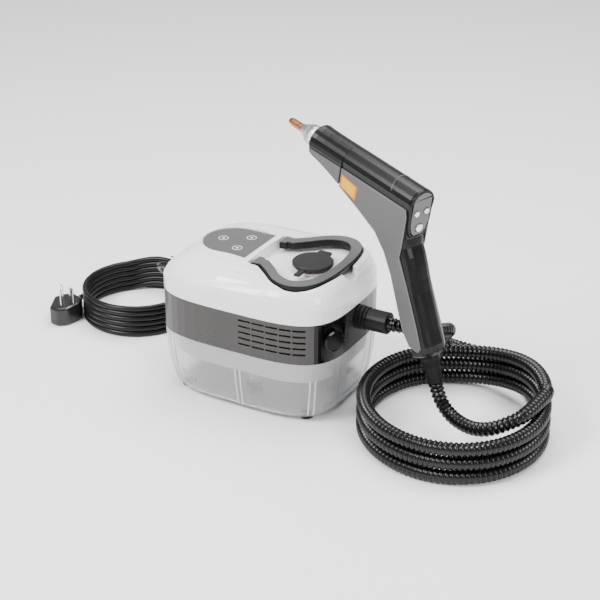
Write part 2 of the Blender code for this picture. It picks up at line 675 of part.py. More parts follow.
def make_steam_hose(finish, parent):
    coil_ring("steam_hose_coil", hose_spot, 32, HOSE_DIAMETER, HOSE_PITCH, HOSE_TURNS, 3, finish, parent)
    start = (FERRULE_END + GAP, 0.0, OUTLET_Z)
    tube("steam_hose_lead", [start] + HOSE_LEAD_ROUTE, HOSE_DIAMETER, finish, parent)

    level = HOSE_DIAMETER * 1.5 + (HOSE_TURNS - 1) * HOSE_PITCH + GAP
    on_top = [hose_spot(radians(angle), level) for angle in (-14, 0, 14)]
    from_cuff = [gun_place(*cuff_line(CUFF_LENGTH + further)) for further in (GAP, 0.008)]
    tube("gun_hose_lead", from_cuff + GUN_LEAD_ROUTE + on_top, HOSE_DIAMETER, finish, parent)


# ---------------------------------------------------------------- mains lead and plug
def cord_spot(angle, z, offset=0.0):
    reach = CORD_RADIUS + offset
    return (CORD_CENTRE[0] + reach * cos(angle), CORD_CENTRE[1] + reach * sin(angle), z)


CORD_LEAD_ROUTE = [
    (-0.1650, 0.0351, 0.0948), (-0.1760, 0.0385, 0.0912), (-0.1850, 0.0470, 0.0830),
    (-0.1895, 0.0610, 0.0710), (-0.1890, 0.0780, 0.0575), (-0.1870, 0.0960, 0.0495)]

PLUG_LEAD_ROUTE = [
    (-0.3040, 0.0450, 0.0150), (-0.3060, 0.0580, 0.0100), (-0.3067, 0.0700, 0.0055),
    (-0.3055, 0.0850, 0.0036), (-0.2995, 0.1010, 0.0036), (-0.2900, 0.1150, 0.0036)]


def make_mains_lead(finish, tie_finish, parent):
    x, y, z = RELIEF_START
    profile = [(0.0058, -0.0100), (0.0058, GAP), (0.0090, GAP), (0.0090, 0.0030), (0.0068, 0.0040),
               (0.0048, RELIEF_LENGTH)]
    relief = turned("cord_relief", profile, finish, parent, count=16)
    place(relief, (x, y, z), (-1, 0, 0))

    coil = coil_ring("power_cord_coil", cord_spot, 24, CORD_DIAMETER, CORD_DIAMETER, CORD_TURNS, 3,
                     finish, parent)
    top = CORD_DIAMETER * (CORD_TURNS + 0.5) + GAP
    start = (x - RELIEF_LENGTH - GAP, y, z)
    landing = [cord_spot(radians(angle), top) for angle in (42, 56, 70, 84, 98)]
    tube("power_cord_lead", [start] + CORD_LEAD_ROUTE + landing, CORD_DIAMETER, finish, parent,
         spacing=2.0, resolution=2)
    make_tie(coil, top + CORD_DIAMETER / 2, tie_finish, parent)
    tube("power_cord_plug_lead", [PLUG_EXIT] + PLUG_LEAD_ROUTE, CORD_DIAMETER, finish, parent,
         spacing=2.0, resolution=2)


def make_tie(coil, bundle_top, finish, parent):
    """A strap round the coil and the lead that lies on it. It sits in a notch under the coil."""
    angle = radians(80)
    width, wall, ease = 0.0036, 0.0012, 0.0006
    inner = CORD_DIAMETER / 2 + ease
    outer = inner + wall
    top = bundle_top + ease

    def section(reach, low, high):
        return [(reach, low), (reach, high), (-reach, high), (-reach, low)]

    outline, hole = section(outer, 0.0, top + wall), section(inner, wall, top)
    rings = []
    for ring, side in ((outline, -width), (outline, width), (hole, width), (hole, -width)):
        rings.append([(x, side / 2, z) for x, z in ring])
    tie = ring_body("cord_tie", rings, finish, parent, closed_loop=True, smooth=False)
    tie.location = cord_spot(angle, 0.0)
    tie.rotation_euler = (0.0, 0.0, angle)
    notch = block("tie_notch", (-0.0060, -width, -0.0010), (0.0060, width, wall + GAP), None, parent)
    notch.location = cord_spot(angle, 0.0)
    notch.rotation_euler = (0.0, 0.0, angle)
    cut(coil, notch)


def make_plug(body_finish, pin_finish, parent):
    """A three-pin plug that stands on its back, with its pins up."""
    outline = [(-0.3111, -0.0140), (-0.2980, -0.0160), (-0.2885, -0.0080), (-0.2840, 0.0145),
               (-0.2915, 0.0285), (-0.3080, 0.0330), (-0.3175, 0.0270), (-0.3240, 0.0135)]
    body = prism("plug_body", outline, 0.0, PLUG_HEIGHT, body_finish, parent, smooth=False)
    add_bevel(body, 0.0028, 2, 25)

    back = Vector((cos(PIN_TURN), sin(PIN_TURN)))
    across = Vector((back.y, -back.x))
    spots = [(across * -0.0069, -30), (across * 0.0069, 30), (back * 0.0143, 0)]
    for index, (offset, lean) in enumerate(spots):
        pin = block(f"plug_pin_{index + 1}", (-0.0032, -0.0008, 0.0), (0.0032, 0.0008, PIN_LENGTH),
                    pin_finish, parent, bevel=0.0004, segments=1)
        spot = Vector(PIN_MIDDLE) + offset
        pin.location = (spot.x, spot.y, PLUG_HEIGHT + GAP)
        pin.rotation_euler = (0.0, 0.0, PIN_TURN + radians(lean))


# ---------------------------------------------------------------- gun
def gun_place(forward, side, up):
    """A point of the gun's own frame, seen from the unit's centre."""
    turn = Euler((0.0, GUN_PITCH, GUN_YAW), "XYZ").to_matrix()
    return tuple(turn @ Vector((forward, side, up)) + Vector(GUN_ORIGIN))


def cuff_line(distance):
    """A point on the cuff's axis, measured down from the handle's end, in the gun's own frame."""
    return (CUFF_START[0] - distance * sin(CUFF_LEAN), 0.0, CUFF_START[1] - distance * cos(CUFF_LEAN))


# The housing's outline as (forward, up, share of the edge rounding)
HOUSING_OUTLINE = [
    (0.0365, 0.1729, 0.0), (COVER_SPLIT - GAP, 0.1729, 0.0), (COVER_SPLIT - GAP, 0.1392, 1.0),
    (0.1240, 0.1322, 1.0), (0.1064, 0.1251, 1.0), (0.0920, 0.1195, 1.0), (0.0783, 0.1128, 1.0),
    (0.0692, 0.1062, 1.0), (0.0609, 0.0972, 1.0), (0.0530, 0.0870, 1.0), (0.0448, 0.0750, 1.0),
    (0.0350, 0.0575, 1.0), (0.0263, 0.0417, 1.0), (0.0190, 0.0290, 1.0), (0.0130, 0.0192, 1.0),
    (0.0045, 0.0090, 1.0), (-0.0037, 0.0001, 0.4), (-0.0236, 0.0116, 0.4), (-0.0245, 0.0170, 1.0),
    (-0.0220, 0.0250, 1.0), (-0.0130, 0.0390, 1.0), (-0.0030, 0.0565, 1.0), (0.0080, 0.0750, 1.0),
    (0.0145, 0.0875, 1.0), (0.0205, 0.1000, 1.0), (0.0265, 0.1110, 1.0), (0.0325, 0.1200, 1.0),
    (0.0360, 0.1285, 0.6), (0.0365, 0.1400, 0.1)]


def inward(outline, inset):
    """Move each point of an (x, y) outline in along the mean of its edges' normals."""
    count = len(outline)
    area = sum(outline[i][0] * outline[(i + 1) % count][1] - outline[(i + 1) % count][0] * outline[i][1]
               for i in range(count))
    turn = 1 if area > 0 else -1
    moved = []
    for index, point in enumerate(outline):
        before = Vector(point[:2]) - Vector(outline[index - 1][:2])
        after = Vector(outline[(index + 1) % count][:2]) - Vector(point[:2])
        normals = [Vector((-edge.y, edge.x)).normalized() * turn for edge in (before, after)]
        mean = (normals[0] + normals[1]).normalized()
        lean = max(0.5, mean.dot(normals[0]))
        share = point[2] if len(point) > 2 else 1.0
        moved.append(tuple(Vector(point[:2]) + mean * inset * share / lean))
    return moved


def make_housings(finish, parent):
    layers = [(0.00015, 0.0), (0.0075, 0.0004), (0.0120, 0.0020), (0.0150, 0.0045), (0.0168, 0.0085)]
    hollow = [(point[0], point[1]) for point in HOUSING_OUTLINE]
    for name, side in (("gun_housing_right", -1), ("gun_housing_left", 1)):
        rings = []
        for reach, inset in layers:
            shape = inward(HOUSING_OUTLINE, inset)
            rings.append([(forward, side * reach, up) for forward, up in shape])
        half = ring_body(name, rings, finish, parent)
        inside = inward(hollow, 0.0030)
        inner = side_prism("hollow_" + name, inside, -side * 0.001, side * 0.0085, None, parent)
        cut(half, inner)
        front = block("front_way_" + name, (0.1300, -0.0085, 0.1450), (0.1500, 0.0085, 0.1705),
                      None, parent)
        cut(half, front)
        window = block("rear_window_" + name, (0.0300, -0.0112, 0.1355), (0.0450, 0.0112, 0.1665),
                       None, parent)
        cut(half, window)


def make_nose(finish, parent):
    """The front of the barrel: round above, narrower and flat below."""
    def station(forward, low, half, top_radius, shrink=0.0):
        ring = []
        for index in range(13):
            a = pi * index / 12
            reach = top_radius - shrink
            ring.append((forward, reach * cos(a), BARREL_AXIS_Z + reach * sin(a)))
        for side, up in ((-1, 0.5), (-0.96, 0.2), (-0.72, 0.0), (0.0, -0.02), (0.72, 0.0), (0.96, 0.2),
                         (1, 0.5)):
            base = low + shrink
            ring.append((forward, side * (half - shrink), base + (BARREL_AXIS_Z - base) * max(up, 0.0)))
        return ring

    def hole(forward):
        return [(forward, 0.0116 * cos(2 * pi * i / 20), BARREL_AXIS_Z + 0.0116 * sin(2 * pi * i / 20))
                for i in range(20)]

    outer = [(COVER_SPLIT, 0.1394, 0.0168, 0.0180), (0.1600, 0.1460, 0.0168, 0.0180),
             (0.1760, 0.1518, 0.0168, 0.0181), (0.1880, 0.1543, 0.0170, 0.0184),
             (0.1940, 0.1550, 0.0172, 0.0188), (BARREL_FRONT, 0.1560, 0.0166, 0.0180)]
    rings = [station(*spec) for spec in outer]
    rings += [hole(BARREL_FRONT), hole(BARREL_FRONT - 0.0030)]
    inner = [(BARREL_FRONT - 0.0031, 0.1550, 0.0170, 0.0184), (0.1600, 0.1460, 0.0168, 0.0180),
             (COVER_SPLIT, 0.1394, 0.0168, 0.0180)]
    rings += [station(*spec, shrink=WALL) for spec in inner]
    return ring_body("nose_cover", rings, finish, parent, closed_loop=True)


def make_top_cover(finish, parent):
    start, end = BARREL_REAR + GAP, COVER_SPLIT - GAP
    rings = []
    for forward, radius in ((start, 0.0174), (start + 0.0015, BARREL_RADIUS), (end, BARREL_RADIUS)):
        ring = []
        for reach, angles in ((radius, range(18, 163, 12)), (radius - WALL, range(162, 17, -12))):
            for angle in angles:
                a = radians(angle)
                ring.append((forward, reach * cos(a), BARREL_AXIS_Z + reach * sin(a)))
        rings.append(ring)
    return ring_body("top_cover", rings, finish, parent)


def make_side_plates(finish, parent):
    """Thin grey covers that wrap the gun's sides."""
    outline = [(0.0400, 0.1655), (0.1405, 0.1655), (0.1405, 0.1440), (0.1240, 0.1380),
               (0.1064, 0.1315), (0.0783, 0.1195), (0.0609, 0.1040), (0.0448, 0.0815), (0.0263, 0.0480),
               (0.0130, 0.0255), (0.0010, 0.0140), (-0.0120, 0.0140), (-0.0150, 0.0200),
               (-0.0047, 0.0390), (0.0170, 0.0750), (0.0380, 0.1080), (0.0374, 0.1180),
               (0.0377, 0.1570)]
    for name, side in (("side_plate_right", -1), ("side_plate_left", 1)):
        near, far = side * (GUN_HALF_WIDTH + 0.0002), side * (GUN_HALF_WIDTH + 0.0014)
        rings = [[(forward, near, up) for forward, up in outline]]
        rings.append([(forward, far, up) for forward, up in inward(outline, 0.0006)])
        ring_body(name, rings, finish, parent)


def make_rear_panel(panel_finish, button_finish, board_finish, parent):
    """The panel that faces the user, with its three buttons and the switch board behind them."""
    outline = [(-0.0130, 0.1760), (-0.0130, 0.1480), (-0.0105, 0.1385), (-0.0060, 0.1335),
               (0.0060, 0.1335), (0.0105, 0.1385), (0.0130, 0.1480), (0.0130, 0.1760)]
    rings = [[(forward, side, up) for side, up in outline] for forward in (0.0340, 0.0362)]
    panel = ring_body("rear_panel", rings, panel_finish, parent)
    buttons = (("button_left", 0.0072, 0.1606, 0.0037), ("button_right", -0.0072, 0.1606, 0.0037),
               ("button_lower", 0.0, 0.1420, 0.0050))
    for name, side, up, radius in buttons:
        hole = turned("way_" + name, [(radius + 0.0003, -0.004), (radius + 0.0003, 0.004)], None, parent)
        place(hole, (0.0350, side, up), (1, 0, 0))
        cut(panel, hole)
        profile = [(radius - 0.0008, 0.0), (radius, 0.0006), (radius, 0.0058)]
        button = turned(name, profile, button_finish, parent, count=20)
        place(button, (0.0324, side, up), (1, 0, 0))
    block("switch_board", (0.0402, -0.0105, 0.1362), (0.0418, 0.0105, 0.1658), board_finish, parent)


def make_nozzle(steel, copper, parent):
    knurl = [(0.0100, -0.0026), (0.0100, GAP), (0.0104, 0.0008), (0.0110, 0.0020), (0.0110, 0.0170),
             (0.0100, 0.0186), (0.0080, 0.0240), (0.0056, 0.0285)]
    chuck = turned("nozzle_chuck", knurl, steel, parent, count=20)
    place(chuck, (BARREL_FRONT, 0.0, BARREL_AXIS_Z), (1, 0, 0))
    profile = [(0.0052, 0.0), (0.0052, 0.0030), (0.0038, 0.0036), (0.0038, 0.0060), (0.0046, 0.0070),
               (0.0046, 0.0180), (0.0034, 0.0225), (0.0012, 0.0232), (0.0012, 0.0100)]
    tip = turned("nozzle_tip", profile, copper, parent, count=16)
    place(tip, (BARREL_FRONT + 0.0285 + GAP, 0.0, BARREL_AXIS_Z), (1, 0, 0))


def make_gun(black, grey, gloss, chrome, steel, copper, rubber, white, green, assembly):
    gun = empty("gun", GUN_ORIGIN, (0.0, GUN_PITCH, GUN_YAW), assembly)
    make_housings(black, gun)
    make_nose(black, gun)
    make_top_cover(gloss, gun)
    make_side_plates(grey, gun)
    make_rear_panel(grey, chrome, green, gun)
    make_nozzle(steel, copper, gun)
    route = [(-0.0080, 0.0, 0.0140), (0.0070, 0.0, 0.0400), (0.0240, 0.0, 0.0700), (0.0390, 0.0, 0.0940),
             (0.0580, 0.0, 0.1180), (0.0800, 0.0, 0.1390), (0.1080, 0.0, 0.1550), (0.1450, 0.0, 0.1645),
             (BARREL_FRONT - 0.0032, 0.0, BARREL_AXIS_Z)]
    tube("gun_steam_tube", route, 0.0070, white, gun, spacing=2.0, resolution=2)
    profile = [(0.0085, 0.0), (0.0085, 0.0020), (0.0092, 0.0180), (0.0110, 0.0260), (0.0110, 0.0298)]
    cuff = turned("hose_cuff", profile, rubber, gun, count=20)
    low = cuff_line(CUFF_LENGTH)
    up = (sin(CUFF_LEAN), 0.0, cos(CUFF_LEAN))
    place(cuff, low, up)


# ---------------------------------------------------------------- the whole object
def build_model():
    clear_scene()
    white = material("white_shell", (0.86, 0.86, 0.85), 0.30)
    clear = material("clear_tank", (0.80, 0.82, 0.84), 0.10, alpha=0.4)
    band = material("band_grey", (0.16, 0.15, 0.15), 0.35)
    black = material("black_plastic", (0.03, 0.03, 0.03), 0.40)
    gloss = material("gloss_black", (0.01, 0.01, 0.01), 0.08)
    grey = material("grey_plastic", (0.25, 0.25, 0.25), 0.45)
    rubber = material("black_rubber", (0.02, 0.02, 0.02), 0.55)
    seal = material("seal_silicone", (0.60, 0.20, 0.12), 0.60)
    natural = material("natural_plastic", (0.75, 0.74, 0.70), 0.40)
    metal = material("cast_aluminium", (0.60, 0.61, 0.62), 0.45, 1.0)
    steel = material("steel", (0.62, 0.62, 0.62), 0.28, 1.0)
    brass = material("brass", (0.70, 0.55, 0.25), 0.30, 1.0)
    copper = material("copper", (0.62, 0.36, 0.24), 0.30, 1.0)
    chrome = material("button_silver", (0.75, 0.75, 0.76), 0.18, 1.0)
    green = material("circuit_board", (0.05, 0.22, 0.10), 0.50)

    assembly = empty("assembly", (ASSEMBLY_X, 0.0, 0.0))
    make_feet(rubber, assembly)
    make_tank(clear, assembly)
    make_chassis_tub(grey, assembly)
    make_band(band, assembly)
    make_side_window(gloss, gloss, assembly)
    make_top_shell(white, assembly)
    make_control_panel(grey, green, assembly)
    make_handle(black, grey, assembly)
    make_filler(black, seal, natural, assembly)

    make_boiler(metal, steel, brass, black, assembly)
    make_pump(brass, steel, black, natural, assembly)
    make_steam_pipe(natural, assembly)
    block("control_board", (-0.0950, 0.0560, 0.0820), (-0.0350, 0.0576, 0.1180), green, assembly)

    make_outlet(rubber, assembly)
    make_steam_hose(rubber, assembly)
    make_mains_lead(rubber, black, assembly)
    make_plug(black, steel, assembly)
    make_gun(black, grey, gloss, chrome, steel, copper, rubber, natural, green, assembly)


build_model()
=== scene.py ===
"""Looks of the portable steam cleaner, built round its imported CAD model. Metres, +Z up."""

import json
from math import copysign, cos, pi, radians, sin

import bmesh
import bpy
from mathutils import Euler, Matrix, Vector

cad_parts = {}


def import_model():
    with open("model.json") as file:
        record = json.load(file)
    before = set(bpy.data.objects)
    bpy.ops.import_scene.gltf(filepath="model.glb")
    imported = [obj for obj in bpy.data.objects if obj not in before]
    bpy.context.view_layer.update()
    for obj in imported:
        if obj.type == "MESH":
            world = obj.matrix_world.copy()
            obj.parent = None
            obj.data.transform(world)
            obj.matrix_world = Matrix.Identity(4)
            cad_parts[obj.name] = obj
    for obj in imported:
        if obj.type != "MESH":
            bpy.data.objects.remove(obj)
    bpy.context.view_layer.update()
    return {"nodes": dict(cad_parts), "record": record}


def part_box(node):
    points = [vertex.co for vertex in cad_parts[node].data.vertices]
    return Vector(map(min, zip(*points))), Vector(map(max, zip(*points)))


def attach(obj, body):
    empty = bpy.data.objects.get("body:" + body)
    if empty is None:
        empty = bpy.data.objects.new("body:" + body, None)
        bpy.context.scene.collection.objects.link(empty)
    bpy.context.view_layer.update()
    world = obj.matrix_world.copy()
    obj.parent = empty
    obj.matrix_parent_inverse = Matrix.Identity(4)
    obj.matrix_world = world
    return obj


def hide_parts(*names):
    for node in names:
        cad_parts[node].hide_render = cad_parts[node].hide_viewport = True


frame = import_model()
NODES = frame["nodes"]

TANK_LOW, TANK_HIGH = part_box("water_tank")
UNIT_X = (TANK_LOW.x + TANK_HIGH.x) / 2      # the unit's centre, which the places below start from
TANK_HALF_LENGTH, TANK_HALF_WIDTH, TANK_ROUNDING = 0.1125, 0.0887, 3.8

HOSE_DIAMETER, HOSE_PITCH = 0.0162, 0.0165
HOSE_CENTRE, HOSE_RADIUS, HOSE_STRETCH = Vector((0.2330, -0.0045)), 0.0985, 1.10
HOSE_LONG_AXIS = radians(119.2)
HOSE_START = (0.1513, 0.0, 0.1095)
HOSE_SWEEP = range(-24, 1095, 6)             # degrees round the coil
HOSE_FIRST_CLIMB, HOSE_CLIMB, HOSE_JOIN = 270, 80, 36
HOSE_JOIN_OUTWARD = 0.0165
RIB_PITCH, RIB_DEPTH = 0.0056, 0.0015
RIB_PROFILE = (0.0, 0.0, 0.55, 1.0, 0.55)    # how far in the hose lies over one rib and its groove

CORD_DIAMETER = 0.0068
CORD_CENTRE, CORD_RADIUS, CORD_TURNS = Vector((-0.2326, 0.0680)), 0.0670, 6
CORD_SWEEP_START, CORD_FIRST_FALL, CORD_FALL, CORD_LEAVE = 42, 98, 42, 44
CORD_LEAVE_OUTWARD = 0.0072
CORD_START = (-0.1578, 0.0350, 0.0950)
PLUG_EXIT = (-0.3020, 0.0338, 0.0165)

GUN_ORIGIN = Vector((0.1942, -0.0119, 0.0900))
GUN_TURN = Euler((0.0, radians(-10.0), radians(160.35)), "XYZ").to_matrix()
CUFF_START, CUFF_LEAN, CUFF_LENGTH = (-0.0149, 0.0032), radians(30), 0.0280

CAMERA_PLACE, CAMERA_TARGET = (0.8297, -1.4137, 0.9114), (0.0290, 0.0162, 0.1022)
CAMERA_LENS = 96

HOSE_LEAD_ROUTE = [
    (0.1580, 0.0001, 0.1094), (0.1765, 0.0060, 0.1080), (0.1930, 0.0215, 0.1025),
    (0.1990, 0.0430, 0.0945), (0.1950, 0.0620, 0.0855), (0.1870, 0.0786, 0.0735),
    (0.1742, 0.0933, 0.0600), (0.1656, 0.1067, 0.0475), (0.1610, 0.1220, 0.0355),
    (0.1626, 0.1366, 0.0250), (0.1698, 0.1492, 0.0170), (0.1833, 0.1579, 0.0120),
    (0.1997, 0.1614, 0.0095), (0.2171, 0.1591, 0.0085), (0.2339, 0.1525, 0.0083),
    (0.2501, 0.1420, 0.0083), (0.2644, 0.1288, 0.0083), (0.2762, 0.1148, 0.0083),
    (0.2861, 0.1009, 0.0083)]
GUN_LEAD_ROUTE = [
    (0.2280, -0.0245, 0.0440), (0.2400, -0.0300, 0.0360), (0.2560, -0.0370, 0.0330),
    (0.2745, -0.0435, 0.0345), (0.2930, -0.0460, 0.0405), (0.3105, -0.0400, 0.0490),
    (0.3235, -0.0245, 0.0555)]
CORD_LEAD_ROUTE = [
    (-0.1650, 0.0351, 0.0948), (-0.1760, 0.0385, 0.0912), (-0.1850, 0.0470, 0.0830),
    (-0.1895, 0.0610, 0.0710), (-0.1890, 0.0780, 0.0575), (-0.1870, 0.0960, 0.0495)]
PLUG_LEAD_ROUTE = [
    (-0.3040, 0.0450, 0.0150), (-0.3060, 0.0580, 0.0100), (-0.3067, 0.0700, 0.0055),
    (-0.3055, 0.0850, 0.0036), (-0.2995, 0.1010, 0.0036)]
PLATE_OUTLINE = [
    (0.0400, 0.1655), (0.1405, 0.1655), (0.1405, 0.1440), (0.1240, 0.1380), (0.1064, 0.1315),
    (0.0783, 0.1195), (0.0609, 0.1040), (0.0448, 0.0815), (0.0263, 0.0480), (0.0130, 0.0255),
    (0.0010, 0.0140), (-0.0120, 0.0140), (-0.0150, 0.0200), (-0.0047, 0.0390), (0.0170, 0.0750),
    (0.0380, 0.1080), (0.0374, 0.1180), (0.0377, 0.1570)]
PLATE_FACE = 0.0184                          # from the gun's middle to a side plate's outside
BARREL_UP, BARREL_RADIUS = 0.1685, 0.01805
LABEL_CORNERS = [(0.1385, 0.1595), (0.1120, 0.1555), (0.1135, 0.1385), (0.1392, 0.1448)]
MARK_THICKNESS = 0.0002
CHUCK_START, CHUCK_RADIUS = 0.1955, 0.01090
KNURL_RIDGES, RIDGE_HEIGHT = 72, 0.00045


# ---------------------------------------------------------------- places
def world(point):
    return Vector((point[0] + UNIT_X, point[1], point[2]))


def gun_place(forward, side, up):
    return tuple(GUN_TURN @ Vector((forward, side, up)) + GUN_ORIGIN)


def cuff_line(distance):
    return gun_place(CUFF_START[0] - distance * sin(CUFF_LEAN), 0.0,
                     CUFF_START[1] - distance * cos(CUFF_LEAN))


def smoothstep(value):
    value = min(1.0, max(0.0, value))
    return value * value * (3 - 2 * value)


def catmull(points, steps=12):
    """A smooth open curve through the points."""
    knots = [2 * Vector(points[0]) - Vector(points[1])] + [Vector(p) for p in points]
    knots.append(2 * Vector(points[-1]) - Vector(points[-2]))
    fine = []
    for p0, p1, p2, p3 in zip(knots, knots[1:], knots[2:], knots[3:]):
        for step in range(steps):
            t = step / steps
            fine.append(0.5 * (2 * p1 + (p2 - p0) * t + (2 * p0 - 5 * p1 + 4 * p2 - p3) * t * t
                               + (3 * p1 - p0 - 3 * p2 + p3) * t ** 3))
    return fine + [knots[-2]]


def even(points, spacing):
    """The same line with its points a set distance apart."""
    length = sum((b - a).length for a, b in zip(points, points[1:]))
    count = round(length / spacing)
    made, travelled, target = [points[0]], 0.0, length / count
    for a, b in zip(points, points[1:]):
        step = (b - a).length
        while travelled + step >= target and len(made) < count:
            made.append(a.lerp(b, (target - travelled) / step))
            target += length / count
        travelled += step
    return made + [points[-1]], length


# ---------------------------------------------------------------- materials
def surface(name, colour, roughness, metallic=0.0, grain=900.0, bump=0.04, tint=0.08, coat=0.0,
            wave=None, edge=0.0, specular=0.5):
    """A shader with fine grain, slow colour change, uneven gloss and, where asked, a ribbed relief."""
    made = bpy.data.materials.new(name)
    made.use_nodes = True
    tree = made.node_tree
    shader = tree.nodes["Principled BSDF"]
    shader.inputs["Metallic"].default_value = metallic
    shader.inputs["Coat Weight"].default_value = coat
    shader.inputs["Coat Roughness"].default_value = 0.08
    shader.inputs["Specular IOR Level"].default_value = specular
    place = tree.nodes.new("ShaderNodeTexCoord")

    def noise(scale, detail):
        node = tree.nodes.new("ShaderNodeTexNoise")
        node.inputs["Scale"].default_value = scale
        node.inputs["Detail"].default_value = detail
        tree.links.new(place.outputs["Object"], node.inputs["Vector"])
        return node

    slow, fine = noise(28.0, 3.0), noise(grain, 2.0)
    blend = tree.nodes.new("ShaderNodeMix")
    blend.data_type = "RGBA"
    blend.inputs["A"].default_value = (*[c * (1 - tint) for c in colour], 1.0)
    blend.inputs["B"].default_value = (*[min(1.0, c * (1 + tint)) for c in colour], 1.0)
    tree.links.new(slow.outputs["Fac"], blend.inputs["Factor"])
    tree.links.new(blend.outputs["Result"], shader.inputs["Base Color"])
    gloss = tree.nodes.new("ShaderNodeMapRange")
    gloss.inputs["To Min"].default_value = roughness * 0.85
    gloss.inputs["To Max"].default_value = roughness * 1.15
    tree.links.new(slow.outputs["Fac"], gloss.inputs["Value"])
    tree.links.new(gloss.outputs["Result"], shader.inputs["Roughness"])

    relief = tree.nodes.new("ShaderNodeBump")
    relief.inputs["Strength"].default_value = bump
    relief.inputs["Distance"].default_value = 0.0002
    tree.links.new(fine.outputs["Fac"], relief.inputs["Height"])
    if edge:
        rounding = tree.nodes.new("ShaderNodeBevel")
        rounding.samples = 4
        rounding.inputs["Radius"].default_value = edge
        tree.links.new(rounding.outputs["Normal"], relief.inputs["Normal"])
    last = relief
    if wave:
        direction, scale, depth = wave
        ribs = tree.nodes.new("ShaderNodeTexWave")
        ribs.bands_direction = direction
        ribs.inputs["Scale"].default_value = scale
        tree.links.new(place.outputs["Object"], ribs.inputs["Vector"])
        last = tree.nodes.new("ShaderNodeBump")
        last.inputs["Distance"].default_value = depth
        last.inputs["Strength"].default_value = 0.6
        tree.links.new(ribs.outputs["Fac"], last.inputs["Height"])
        tree.links.new(relief.outputs["Normal"], last.inputs["Normal"])
    tree.links.new(last.outputs["Normal"], shader.inputs["Normal"])
    return made


def clear_surface():
    """Lightly frosted clear plastic with shallow upright ribs."""
    made = surface("clear_tank", (0.95, 0.95, 0.955), 0.14, grain=500, bump=0.05, tint=0.02,
                   wave=("X", 60.0, 0.0002))
    shader = made.node_tree.nodes["Principled BSDF"]
    shader.inputs["Transmission Weight"].default_value = 0.88
    shader.inputs["IOR"].default_value = 1.35
    return made


FINISHES = {
    "white_shell": surface("white_shell", (0.84, 0.84, 0.83), 0.22, bump=0.01, tint=0.015, coat=0.4,
                           edge=0.0010),
    "clear_tank": clear_surface(),
    "inner_grey": surface("inner_grey", (0.52, 0.52, 0.53), 0.45, edge=0.0006),
    "band_grey": surface("band_grey", (0.026, 0.023, 0.0215), 0.28, bump=0.02, edge=0.0004),
    "gloss_black": surface("gloss_black", (0.002, 0.002, 0.002), 0.12, bump=0.005, edge=0.0005,
                           specular=0.25),
    "panel_grey": surface("panel_grey", (0.080, 0.080, 0.082), 0.48, bump=0.10, edge=0.0004),
    "black_plastic": surface("black_plastic", (0.004, 0.004, 0.004), 0.38, bump=0.06, edge=0.0007,
                             specular=0.25),
    "cap_black": surface("cap_black", (0.017, 0.017, 0.017), 0.45, bump=0.10, edge=0.0008,
                         specular=0.3),
    "inlay_grey": surface("inlay_grey", (0.080, 0.080, 0.081), 0.54, bump=0.10, edge=0.0004),
    "natural_plastic": surface("natural_plastic", (0.72, 0.71, 0.67), 0.38, edge=0.0004),
    "seal_silicone": surface("seal_silicone", (0.50, 0.14, 0.08), 0.55),
    "rubber": surface("rubber", (0.004, 0.004, 0.004), 0.46, bump=0.10, edge=0.0005,
                      specular=0.25),
    "hose_black": surface("hose_black", (0.003, 0.003, 0.003), 0.24, bump=0.03, specular=0.35),
    "cord_black": surface("cord_black", (0.003, 0.003, 0.003), 0.36, bump=0.04, specular=0.3),
    "cast_aluminium": surface("cast_aluminium", (0.60, 0.61, 0.62), 0.50, 1.0, grain=420, bump=0.35),
    "steel": surface("steel", (0.62, 0.62, 0.62), 0.30, 1.0, grain=1500, bump=0.05),
    "pin_steel": surface("pin_steel", (0.74, 0.74, 0.75), 0.16, 1.0, bump=0.02, edge=0.0003),
    "brass": surface("brass", (0.70, 0.53, 0.24), 0.28, 1.0, bump=0.04),
    "circuit_board": surface("circuit_board", (0.04, 0.20, 0.09), 0.40, grain=300, bump=0.20),
    "gun_black": surface("gun_black", (0.003, 0.003, 0.003), 0.28, bump=0.03, edge=0.0009,
                         specular=0.3),
    "gun_grey": surface("gun_grey", (0.088, 0.085, 0.088), 0.44, bump=0.05, edge=0.0007),
    "gun_panel": surface("gun_panel", (0.085, 0.085, 0.088), 0.28, bump=0.02, edge=0.0005),
    "button_silver": surface("button_silver", (0.78, 0.78, 0.79), 0.18, 1.0, bump=0.02),
    "plug_black": surface("plug_black", (0.008, 0.008, 0.008), 0.30, bump=0.08),
    "nozzle_steel": surface("nozzle_steel", (0.66, 0.64, 0.61), 0.24, 1.0, grain=1200, bump=0.10,
                            wave=("DIAGONAL", 220.0, 0.0004)),
    "nozzle_copper": surface("nozzle_copper", (0.46, 0.19, 0.10), 0.26, 1.0, bump=0.06),
}
LABEL_YELLOW = surface("label_yellow", (0.78, 0.42, 0.002), 0.5, bump=0.03)
LABEL_ORANGE = surface("label_orange", (0.66, 0.14, 0.003), 0.5, bump=0.03)
ICON_WHITE = surface("icon_white", (0.72, 0.72, 0.72), 0.45, bump=0.02)
TRIM_GREY = surface("trim_grey", (0.16, 0.16, 0.165), 0.34, bump=0.02)
TANK_RIB = surface("tank_rib", (0.88, 0.88, 0.90), 0.22, bump=0.02)
TANK_RIB.node_tree.nodes["Principled BSDF"].inputs["Transmission Weight"].default_value = 0.45


# ---------------------------------------------------------------- piece builders
def added(name, data):
    made = bpy.data.objects.new(name, data)
    bpy.context.scene.collection.objects.link(made)
    return made


def piece_from(name, build, slot, body, finish=None):
    bmesh.ops.recalc_face_normals(build, faces=build.faces)
    mesh = bpy.data.meshes.new(name)
    build.to_mesh(mesh)
    build.free()
    mesh.shade_smooth()
    mesh.set_sharp_from_angle(angle=radians(38))
    mesh.materials.append(finish or FINISHES[slot])
    made = added(name, mesh)
    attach(made, body)
    return made


